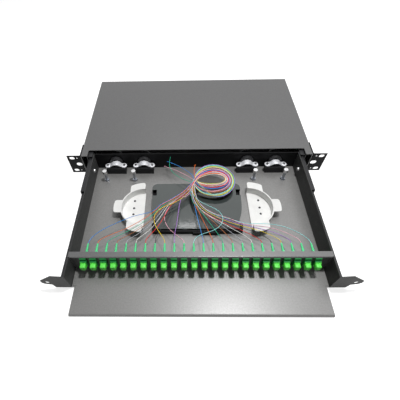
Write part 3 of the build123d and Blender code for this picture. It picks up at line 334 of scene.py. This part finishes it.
NECK = (-3.0, -49.0, 32.0)
TRUNK_LEFT = [
    NECK,
    (-8, -65, 30.5),
    (-20, -82, 29.5),
    (-40, -98, 28.5),
    (-58, -109, 27.5),
    (-76, -119, 27.5),
]
TRUNK_RIGHT = [
    NECK,
    (-8, -68, 30.2),
    (-7, -84, 29.5),
    (-4, -100, 28.5),
    (6, -116, 27.5),
    (24, -130, 27.5),
    (50, -139, 27.5),
    (79, -143, 27.5),
]
ROUTES_LEFT = [
    [(-74, -118, 27.5), (-106, -126, 27.5), (-125, -136, 27.5), (-149, -149, 27.5), (-165, -163, 28)],
    [(-69, -115, 27.5), (-92, -135, 27.5), (-114, -150, 27.5), (-134, -159.5, 27.5), (-150, -168, 28)],
    [(-64, -113, 27.5), (-84, -135, 27.5), (-104, -151, 27.5), (-122, -161, 27.5), (-136, -169.5, 28)],
    [(-59, -110, 27.5), (-76, -135, 27.5), (-93, -151, 27.5), (-109, -162, 27.5), (-121.5, -169.5, 28)],
    [(-54, -107, 27.5), (-69, -133, 27.5), (-83, -151, 27.5), (-97, -162, 27.5), (-108, -169.5, 28)],
    [(-49, -104, 27.5), (-62, -131, 27.5), (-74, -150, 27.5), (-86, -162, 27.5), (-94.5, -169, 28)],
    [(-44, -101, 27.5), (-55, -129, 27.5), (-65.5, -149, 27.5), (-75.5, -162, 27.5), (-81, -169.5, 28)],
    [(-39, -98, 27.5), (-49, -127, 27.5), (-57.5, -148, 27.5), (-64, -161, 27.5), (-66.5, -169.5, 28)],
    [(-56, -108, 28.8), (-69, -120, 29.5), (-72, -137, 29.2), (-64, -154, 28.8), (-55, -167, 28.3)],
    [(-27, -88, 28.6), (-31, -112, 27.5), (-33, -135, 27.5), (-36, -154, 27.5), (-37.5, -167.5, 28)],
    [
        (-33, -92, 27.4),
        (-50, -110, 26.2),
        (-56, -130, 26),
        (-48, -149, 26),
        (-34, -162, 26.4),
        (-25, -170, 27.4),
    ],
]
ROUTES_RIGHT = [
    [
        (-9, -79, 30.6),
        (2, -98, 31),
        (18, -108, 31),
        (34, -117, 30.6),
        (42, -130, 30.2),
        (38, -145, 29.8),
        (26, -155, 29.4),
        (10, -160.5, 29.2),
        (-3, -166.5, 28.8),
    ],
    [(-6, -92, 28.4), (-3, -114, 27.5), (1, -136, 27.5), (4.5, -156, 27.5), (6.5, -168, 28)],
    [(-5, -99, 27.8), (3, -120, 27.5), (11, -141, 27.5), (17.5, -158.5, 27.5), (21, -168.5, 28)],
    [(-1, -106, 27.6), (10, -124, 27.5), (21, -143, 27.5), (30, -159, 27.5), (35, -169, 28)],
    [(3, -112, 27.5), (17, -128, 27.5), (31, -145, 27.5), (43, -160, 27.5), (49.5, -169.5, 28)],
    [(9, -118, 27.5), (26, -133, 27.5), (42, -149, 27.5), (56, -162, 27.5), (64, -170, 28)],
    [(17, -125, 27.5), (36, -138, 27.5), (54, -151, 27.5), (70, -162, 27.5), (79, -170, 28)],
    [(27, -131, 27.5), (47, -143, 27.5), (66, -152.5, 27.5), (84, -163, 27.5), (93.5, -170.5, 28)],
    [(38, -135, 27.5), (59, -145, 27.5), (80, -153.5, 27.5), (98.5, -163, 27.5), (108.5, -170.5, 28)],
    [(50, -139, 27.5), (73, -147, 27.5), (95, -154, 27.5), (113.5, -163, 27.5), (123.5, -170.5, 28)],
    [(61, -140.5, 27.5), (86, -148, 27.5), (109, -154, 27.5), (128.5, -163, 27.5), (138.5, -170.5, 28)],
    [(69, -142, 27.5), (96, -145.5, 27.5), (121, -151, 27.5), (142.5, -161.5, 27.5), (153, -170, 28)],
    [(77, -143, 28.4), (103, -142, 28.4), (129, -145, 28), (150.5, -154.5, 27.8), (165, -166, 28)],
]

# Four fibres, named by their port, go on from the coil to a free end behind it
FREE_ENDS = {
    0: [(-4, -45, 33), (-14, -31, 31), (-34, -12, 28.5), (-54, 0, 26.5)],
    1: [(-3, -42, 34.5), (-4, -31, 35.5), (-1, -19, 36.5)],
    2: [(-6, -57, 30), (-31, -42, 27), (-47, -22, 25), (-50, -6, 29), (-47, 1, 37)],
    10: [(-5, -50, 31), (-24, -33, 28.5), (-43, -19, 26), (-59, -11, 24.5)],
}

FIBRE_COLORS = {
    "blue": (0.05, 0.3, 0.8),
    "orange": (0.95, 0.18, 0.02),
    "green": (0.03, 0.5, 0.3),
    "brown": (0.5, 0.17, 0.07),
    "slate": (0.46, 0.48, 0.54),
    "white": (0.93, 0.92, 0.9),
    "red": (0.86, 0.03, 0.02),
    "black": (0.04, 0.04, 0.042),
    "yellow": (0.95, 0.7, 0.03),
    "violet": (0.46, 0.22, 0.72),
    "rose": (0.93, 0.5, 0.6),
    "aqua": (0.36, 0.84, 0.84),
}

FIBRE_NAMES = list(FIBRE_COLORS)
FIBRE_FINISH = (0.5, 0.25)

# Coil: its outer loops hang down in front and stay high behind, and all gather into a neck on the left
# The order of its colours runs from the inner loop to the outer one. INNER and OUTER are half the width
# and depth of those loops, and a SHIFT moves them forward. Each turn lies in and below the one before.
COIL_ORDER = [
    "white", "orange", "slate", "red", "blue", "black",
    "rose", "brown", "aqua", "yellow", "green", "violet",
]
COIL_CENTRE = (31.0, -50.5)
COIL_INNER = (20.5, 11.0)
COIL_INNER_SHIFT = -3.5
COIL_OUTER = (38.5, 34.8)
COIL_OUTER_SHIFT = -1.8
COIL_TOP = 36.8
COIL_LOW = 24.0
COIL_HANG = 0.55
COIL_HANG_SWING = 0.45
COIL_PINCH = 2.0
LAYER_IN = 0.3
LAYER_DROP = 0.8

NECK_X = -3.5
NECK_Z = 32.0
NECK_WIDE = 6.0
NECK_HIGH = 5.0
NECK_POWER = 4

# Turns: a fibre keeps its place for most of a turn, then moves on by TURN_SHIFT places
COIL_TURNS = 3
TURN_POINTS = 14
TURN_SHIFT = 5
TURN_KEEPS = 0.75
WANDER = 0.05
WANDER_WAVES = (2.1, 3.0, 5.0)


def coil_point(angle, lean, layer):
    # lean runs from 0 on the top inner loop to 1 on the lowest outer one, and neck is 1 where they gather
    leftward = max(0.0, -math.cos(angle))
    neck = leftward ** NECK_POWER
    wide = mixed(COIL_INNER[0], COIL_OUTER[0], lean) - COIL_PINCH * leftward
    deep = mixed(COIL_INNER[1], COIL_OUTER[1], lean)
    shift = mixed(COIL_INNER_SHIFT, COIL_OUTER_SHIFT, lean)
    height = COIL_TOP + (COIL_LOW - COIL_TOP) * lean * (COIL_HANG - COIL_HANG_SWING * math.sin(angle))
    neck_reach = COIL_CENTRE[0] - NECK_X + NECK_WIDE * (lean - 0.5)
    neck_height = NECK_Z + NECK_HIGH * (0.5 - lean)
    wide = wide * (1 - neck) + neck_reach * neck
    height = height * (1 - neck) + neck_height * neck
    x = COIL_CENTRE[0] + (wide - LAYER_IN * layer) * math.cos(angle)
    y = COIL_CENTRE[1] + shift + (deep - LAYER_IN * layer) * math.sin(angle)
    return (x, y, height - LAYER_DROP * layer)


def coil_lean(place, turn):
    return (place + turn * TURN_SHIFT) % PORTS / (PORTS - 1)


def coil_turns(port):
    # A fibre winds clockwise from the neck beside the other of its colour, and takes a new place at each turn
    hue = port % len(FIBRE_NAMES)
    place = 2 * COIL_ORDER.index(FIBRE_NAMES[hue]) + port // len(FIBRE_NAMES)
    points = []
    for turn in range(COIL_TURNS):
        for step in range(TURN_POINTS):
            share = step / TURN_POINTS
            move = max(0.0, (share - TURN_KEEPS) / (1 - TURN_KEEPS))
            lean = mixed(coil_lean(place, turn), coil_lean(place, turn + 1), move)
            phase = WANDER_WAVES[0] * hue + WANDER_WAVES[1] * turn + WANDER_WAVES[2] * share
            lean = min(1.0, max(0.0, lean + WANDER * math.sin(phase)))
            points.append(coil_point(math.pi * (1 - 2 * share), lean, turn + move))
    return points


# Trunks: the fibres lie side by side, and spread over the trunk's first points
TRUNK_R = 2.4
TRUNK_SPREAD = (1.5, 3.2)
TRUNK_SPREADS_FOR = 4
TRUNK_FLATNESS = 0.35
SPIRAL_STEP = math.radians(137.5)
JOIN_CLEARANCE = 6
LEAVES_STRAIGHT = 3.5


def place_in_trunk(order, count):
    # How far a fibre lies to one side of the trunk's line, and how high, which is taken from a spiral
    aside = TRUNK_R * (2 * order / (count - 1) - 1)
    reach = TRUNK_R * math.sqrt((order + 0.5) / count)
    return aside, reach * math.sin(order * SPIRAL_STEP)


def along_trunk(trunk, joins_at, aside, high):
    # The trunk's points from where a fibre joins it back to the coil, moved to the fibre's own place
    start = Vector(joins_at)
    distances = [(Vector(point) - start).length for point in trunk]
    nearest = distances.index(min(distances))
    if trunk[nearest][1] < start.y or distances[nearest] < JOIN_CLEARANCE:
        nearest -= 1
    moved = []
    for i in range(1, nearest + 1):
        before = Vector(trunk[i - 1])
        after = Vector(trunk[min(len(trunk) - 1, i + 1)])
        along = (after - before).normalized()
        widen = mixed(TRUNK_SPREAD[0], TRUNK_SPREAD[1], min(1.0, i / TRUNK_SPREADS_FOR))
        sideways = Vector((-along.y, along.x, 0)) * aside * widen
        raised = Vector((0, 0, high * TRUNK_FLATNESS * widen))
        moved.append(tuple(Vector(trunk[i]) + sideways + raised))
    return list(reversed(moved))


def fibre_line(port):
    # From the boot back through the fan and the trunk, round the coil, and to the free end if it has one
    on_left = port < len(ROUTES_LEFT)
    routes = ROUTES_LEFT if on_left else ROUTES_RIGHT
    trunk = TRUNK_LEFT if on_left else TRUNK_RIGHT
    order = port if on_left else port - len(ROUTES_LEFT)
    route = routes[order]
    tip = (PORT_X[port], BOOT_TIP_Y, PORT_Z)
    leaving = (PORT_X[port], BOOT_TIP_Y + LEAVES_STRAIGHT, PORT_Z)
    fan = [tip, leaving] + list(reversed(route))
    bundle = along_trunk(trunk, route[0], *place_in_trunk(order, len(routes)))
    return fan + bundle + coil_turns(port) + FREE_ENDS.get(port, [])


def smooth_curve(name, points, material):
    data = bpy.data.curves.new(name, "CURVE")
    data.dimensions = "3D"
    data.bevel_depth = FIBRE_D * MM / 2
    data.bevel_resolution = 2
    data.resolution_u = 5
    data.use_fill_caps = True
    spline = data.splines.new("NURBS")
    spline.points.add(len(points) - 1)
    for place, point in zip(spline.points, points):
        place.co = (*metre(point), 1)
    spline.order_u = 3
    spline.use_endpoint_u = True
    data.materials.append(material)
    curve = bpy.data.objects.new(name, data)
    bpy.context.scene.collection.objects.link(curve)
    return curve


def curve_length(curve):
    # The length of the curve's own line, without its bevel
    depth = curve.data.bevel_depth
    curve.data.bevel_depth = 0
    bpy.context.view_layer.update()
    line = bpy.data.meshes.new_from_object(curve.evaluated_get(bpy.context.evaluated_depsgraph_get()))
    places = [vert.co for vert in line.vertices]
    length = sum((places[edge.vertices[0]] - places[edge.vertices[1]]).length for edge in line.edges)
    bpy.data.meshes.remove(line)
    curve.data.bevel_depth = depth
    return length


CORD_NODES = [
    "pigtails_left", "pigtails_right", "pigtail_trunk_left", "pigtail_trunk_right",
    "pigtail_coil", "pigtail_free_ends",
]


def make_fibres():
    materials = {}
    for name, color in FIBRE_COLORS.items():
        materials[name] = moulded(f"fibre_{name}", color, *FIBRE_FINISH)
    for port in range(PORTS):
        color = FIBRE_NAMES[port % len(FIBRE_NAMES)]
        points = fibre_line(port)
        curve = smooth_curve(f"pigtail_{port + 1:02d}_{color}", points, materials[color])
        length = curve_length(curve)
        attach(curve, "drawer")
        if port == 0:
            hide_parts(*CORD_NODES)


# Finer pieces that stand for plain nodes, and the crosses in the screws

SHARP_EDGE = math.radians(38)
SAME_POINT = 0.00001


def piece(name, bm, material, body):
    bmesh.ops.recalc_face_normals(bm, faces=bm.faces)
    mesh = bpy.data.meshes.new(name)
    bm.to_mesh(mesh)
    bm.free()
    mesh.materials.append(material)
    for face in mesh.polygons:
        face.use_smooth = True
    mesh.set_sharp_from_angle(angle=SHARP_EDGE)
    obj = bpy.data.objects.new(name, mesh)
    bpy.context.scene.collection.objects.link(obj)
    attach(obj, body)
    return obj


def islands(node_name):
    # The box around each separate solid of a node, in metres
    obj = NODES[node_name]
    bm = bmesh.new()
    bm.from_mesh(obj.data)
    bmesh.ops.remove_doubles(bm, verts=bm.verts, dist=SAME_POINT)
    bm.transform(obj.matrix_world)
    left = set(bm.verts)
    boxes = []
    while left:
        grow = [left.pop()]
        points = []
        while grow:
            vert = grow.pop()
            points.append(vert.co.copy())
            for edge in vert.link_edges:
                other = edge.other_vert(vert)
                if other in left:
                    left.remove(other)
                    grow.append(other)
        boxes.append([Vector([pick(p[i] for p in points) for i in range(3)]) for pick in (min, max)])
    bm.free()
    return boxes


def rounded_block(bm, low, high, radius):
    made = bmesh.ops.create_cube(bm, size=1.0)["verts"]
    centre = (low + high) / 2
    size = high - low
    for vert in made:
        vert.co = centre + Vector([vert.co[i] * size[i] for i in range(3)])
    edges = list({edge for vert in made for edge in vert.link_edges})
    bmesh.ops.bevel(bm, geom=edges, offset=radius, segments=3, profile=0.5, affect="EDGES")


def skin(bm, rings):
    # Faces from each ring of points to the next, and one across each end
    count = len(rings[0])
    for one, two in zip(rings, rings[1:]):
        for i in range(count):
            j = (i + 1) % count
            bm.faces.new((one[i], one[j], two[j], two[i]))
    bm.faces.new(rings[0])
    bm.faces.new(rings[-1])


# Dust caps: the part inside the port isn't seen and isn't built
CAP_PLUGGED = 0.0026
CAP_GAP = 0.0004
CAP_INSET = 0.0005
CAP_ROUND = 0.0017
CAP_LIP = 0.0011
CAP_LIP_ROUND = 0.0004
CAP_GRIPS = (0.35, 0.55, 0.75)
GRIP_INSET = Vector((0.0002, 0, 0.003))
GRIP_BACK = 0.0006
GRIP_LONG = 0.0007
GRIP_ROUND = 0.0002


def make_dust_caps():
    # A rounded block with a lip where it meets the port, and grip ribs along its sides
    bm = bmesh.new()
    for low, high in islands("dust_caps"):
        seat = high.y - CAP_PLUGGED
        inset = Vector((CAP_INSET, 0, CAP_INSET))
        rounded_block(bm, low + inset, Vector((high.x, seat - CAP_GAP, high.z)) - inset, CAP_ROUND)
        lip_low = Vector((low.x, seat - CAP_LIP, low.z))
        rounded_block(bm, lip_low, Vector((high.x, seat, high.z)), CAP_LIP_ROUND)
        for share in CAP_GRIPS:
            y = low.y + share * (seat - low.y) - GRIP_BACK
            grip_low = Vector((low.x, y, low.z)) + GRIP_INSET
            grip_high = Vector((high.x, y + GRIP_LONG, high.z)) - GRIP_INSET
            rounded_block(bm, grip_low, grip_high, GRIP_ROUND)
    obj = piece("dust_caps_shaped", bm, CAP, "drawer")
    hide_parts("dust_caps")


# Boots: each pair is a share of the boot's length, or of a rib's, and a share of the radius there
BOOT_SIDES = 16
BOOT_SLEEVE = ((0.0, 0.92), (0.22, 0.88))
BOOT_RIBS = 6
RIBS_FROM = 0.24
RIBS_LONG = 0.72
RIBS_RADIUS = 0.86
RIBS_TAPER = 0.36
RIB_SHAPE = ((0.0, 0.8), (0.25, 0.8), (0.3, 1.0), (0.9, 0.96))
BOOT_TIP_RADIUS = 0.36


def boot_profile(start, long, wide):
    # Places along Y and the radius at each: a sleeve, then ribs that get thinner towards the fibre
    profile = [(start + share * long, wide * radius) for share, radius in BOOT_SLEEVE]
    rib_long = long * RIBS_LONG / BOOT_RIBS
    for rib in range(BOOT_RIBS):
        rib_start = start + long * (RIBS_FROM + RIBS_LONG * rib / BOOT_RIBS)
        rib_radius = wide * (RIBS_RADIUS - RIBS_TAPER * rib / BOOT_RIBS)
        profile += [(rib_start + share * rib_long, rib_radius * radius) for share, radius in RIB_SHAPE]
    return profile + [(start + long, wide * BOOT_TIP_RADIUS)]


def make_boots():
    bm = bmesh.new()
    for low, high in islands("pigtail_boots"):
        centre = Vector(((low.x + high.x) / 2, 0, (low.z + high.z) / 2))
        rings = []
        for along, radius in boot_profile(low.y, high.y - low.y, (high.z - low.z) / 2):
            ring = []
            for i in range(BOOT_SIDES):
                angle = 2 * math.pi * i / BOOT_SIDES
                offset = Vector((radius * math.cos(angle), along, radius * math.sin(angle)))
                ring.append(bm.verts.new(centre + offset))
            rings.append(ring)
        skin(bm, rings)
    obj = piece("pigtail_boots_ribbed", bm, BOOT, "drawer")
    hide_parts("pigtail_boots")


# Saddles: a band that rises in a hump, with a waist at the hump's foot
SADDLE_T = 0.0015
SADDLE_STEPS = 28
SADDLE_HUMP = 0.0135
HUMP_FULLNESS = 1.6
SADDLE_END = 0.02
WAIST_DEPTH = 0.16
WAIST_AT = 0.8
WAIST_WIDE = 0.0025
SADDLE_ROUND = 0.0004
SADDLE_SHARP = 1.2


def saddle_place(share, half_w, half_d, rise):
    # Across the band: how far out, how deep and how high, with round ends and a smooth hump
    x = half_w * share
    end = max(0.0, (abs(x) - (half_w - half_d)) / half_d)
    deep = half_d * math.sqrt(max(SADDLE_END, 1 - end * end))
    slope = 0.5 + 0.5 * math.cos(math.pi * min(1.0, abs(x) / SADDLE_HUMP))
    hump = 1 - (1 - slope) ** HUMP_FULLNESS
    waist = 1 - WAIST_DEPTH * math.exp(-((abs(x) - WAIST_AT * SADDLE_HUMP) / WAIST_WIDE) ** 2)
    return x, deep * waist, rise * hump


def make_saddles():
    # A pressed band over each cable, with pads at its ends for the screws
    bm = bmesh.new()
    for low, high in islands("clamp_saddles"):
        centre = (low + high) / 2
        half_w = (high.x - low.x) / 2
        half_d = (high.y - low.y) / 2
        rise = high.z - low.z - SADDLE_T
        rings = []
        for step in range(SADDLE_STEPS + 1):
            share = math.sin(math.pi * (step / SADDLE_STEPS - 0.5))
            x, deep, up = saddle_place(share, half_w, half_d, rise)
            ring = []
            for side, lift in ((-1, 0), (1, 0), (1, SADDLE_T), (-1, SADDLE_T)):
                ring.append(bm.verts.new((centre.x + x, centre.y + side * deep, low.z + up + lift)))
            rings.append(ring)
        skin(bm, rings)
    sharp = [edge for edge in bm.edges if edge.calc_face_angle(0) > SADDLE_SHARP]
    bmesh.ops.bevel(bm, geom=sharp, offset=SADDLE_ROUND, segments=2, profile=0.5, affect="EDGES")
    obj = piece("clamp_saddles_pressed", bm, SADDLE, "drawer")
    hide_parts("clamp_saddles")


# Screw crosses: a near-black cross of painted shade stands for each head's recess, a hair proud of its head,
# so that it shows
# A head faces up, along axis 2, or out to its own side, along axis 0
CROSS_LONG = 0.0026
CROSS_WIDE = 0.0006
CROSS_HALF_T = 0.0002
CROSS_PROUD = 0.00003
CROSS_ROUND = 0.00008
UPWARD = 2
OUTWARD = 0


def screw_crosses(name, node_name, axis, body):
    # The dark cross in each screw head of a node, painted shade in place of the recess
    bm = bmesh.new()
    for low, high in islands(node_name):
        centre = (low + high) / 2
        way = 1 if axis == UPWARD or centre.x > 0 else -1
        top = high[axis] if way > 0 else low[axis]
        across = [i for i in range(3) if i != axis]
        for one, other in (across, across[::-1]):
            half = Vector((0, 0, 0))
            half[one] = CROSS_LONG / 2
            half[other] = CROSS_WIDE / 2
            half[axis] = CROSS_HALF_T
            middle = centre.copy()
            middle[axis] = top + way * (CROSS_PROUD - CROSS_HALF_T)
            rounded_block(bm, middle - half, middle + half, CROSS_ROUND)
    obj = piece(name, bm, RECESS_PAINTED_SHADE, body)


def make_screw_crosses():
    screw_crosses("clamp_screw_recesses", "clamp_screws", UPWARD, "drawer")
    screw_crosses("panel_screw_recesses", "panel_screws", UPWARD, "drawer")
    screw_crosses("ear_screw_recesses", "ear_screws", OUTWARD, "chassis")
    screw_crosses("bracket_screw_recesses", "bracket_screws", OUTWARD, "chassis")


# Floor

FLOOR_GREY = (0.55, 0.55, 0.55)
FLOOR_ROUGHNESS = 0.9
FLOOR_GLOW = 0.78
FLOOR_SIZE = 6.0
FLOOR_GAP = 0.0002


def floor_white():
    # A matt white sheet that looks evenly lit to the camera and in reflections
    material, shader = principled("floor_white", FLOOR_GREY, FLOOR_ROUGHNESS)
    nodes = material.node_tree.nodes
    links = material.node_tree.links
    glow = nodes.new("ShaderNodeMath")
    glow.operation = "MULTIPLY"
    glow.inputs[1].default_value = FLOOR_GLOW
    links.new(background_seen(material.node_tree), glow.inputs[0])
    shader.inputs["Emission Color"].default_value = (1, 1, 1, 1)
    links.new(glow.outputs[0], shader.inputs["Emission Strength"])
    return material


def make_floor():
    bm = bmesh.new()
    bmesh.ops.create_grid(bm, x_segments=1, y_segments=1, size=FLOOR_SIZE)
    mesh = bpy.data.meshes.new("floor")
    bm.to_mesh(mesh)
    bm.free()
    floor = bpy.data.objects.new("floor", mesh)
    floor.location = (0, 0, -MID_Z * MM - FLOOR_GAP)
    bpy.context.scene.collection.objects.link(floor)
    mesh.materials.append(floor_white())


bpy.context.scene.view_settings.view_transform = "Standard"
make_camera()
make_world()
make_lamps()
make_floor()
dress_nodes()
make_dust_caps()
make_boots()
make_saddles()
make_screw_crosses()
make_fibres()
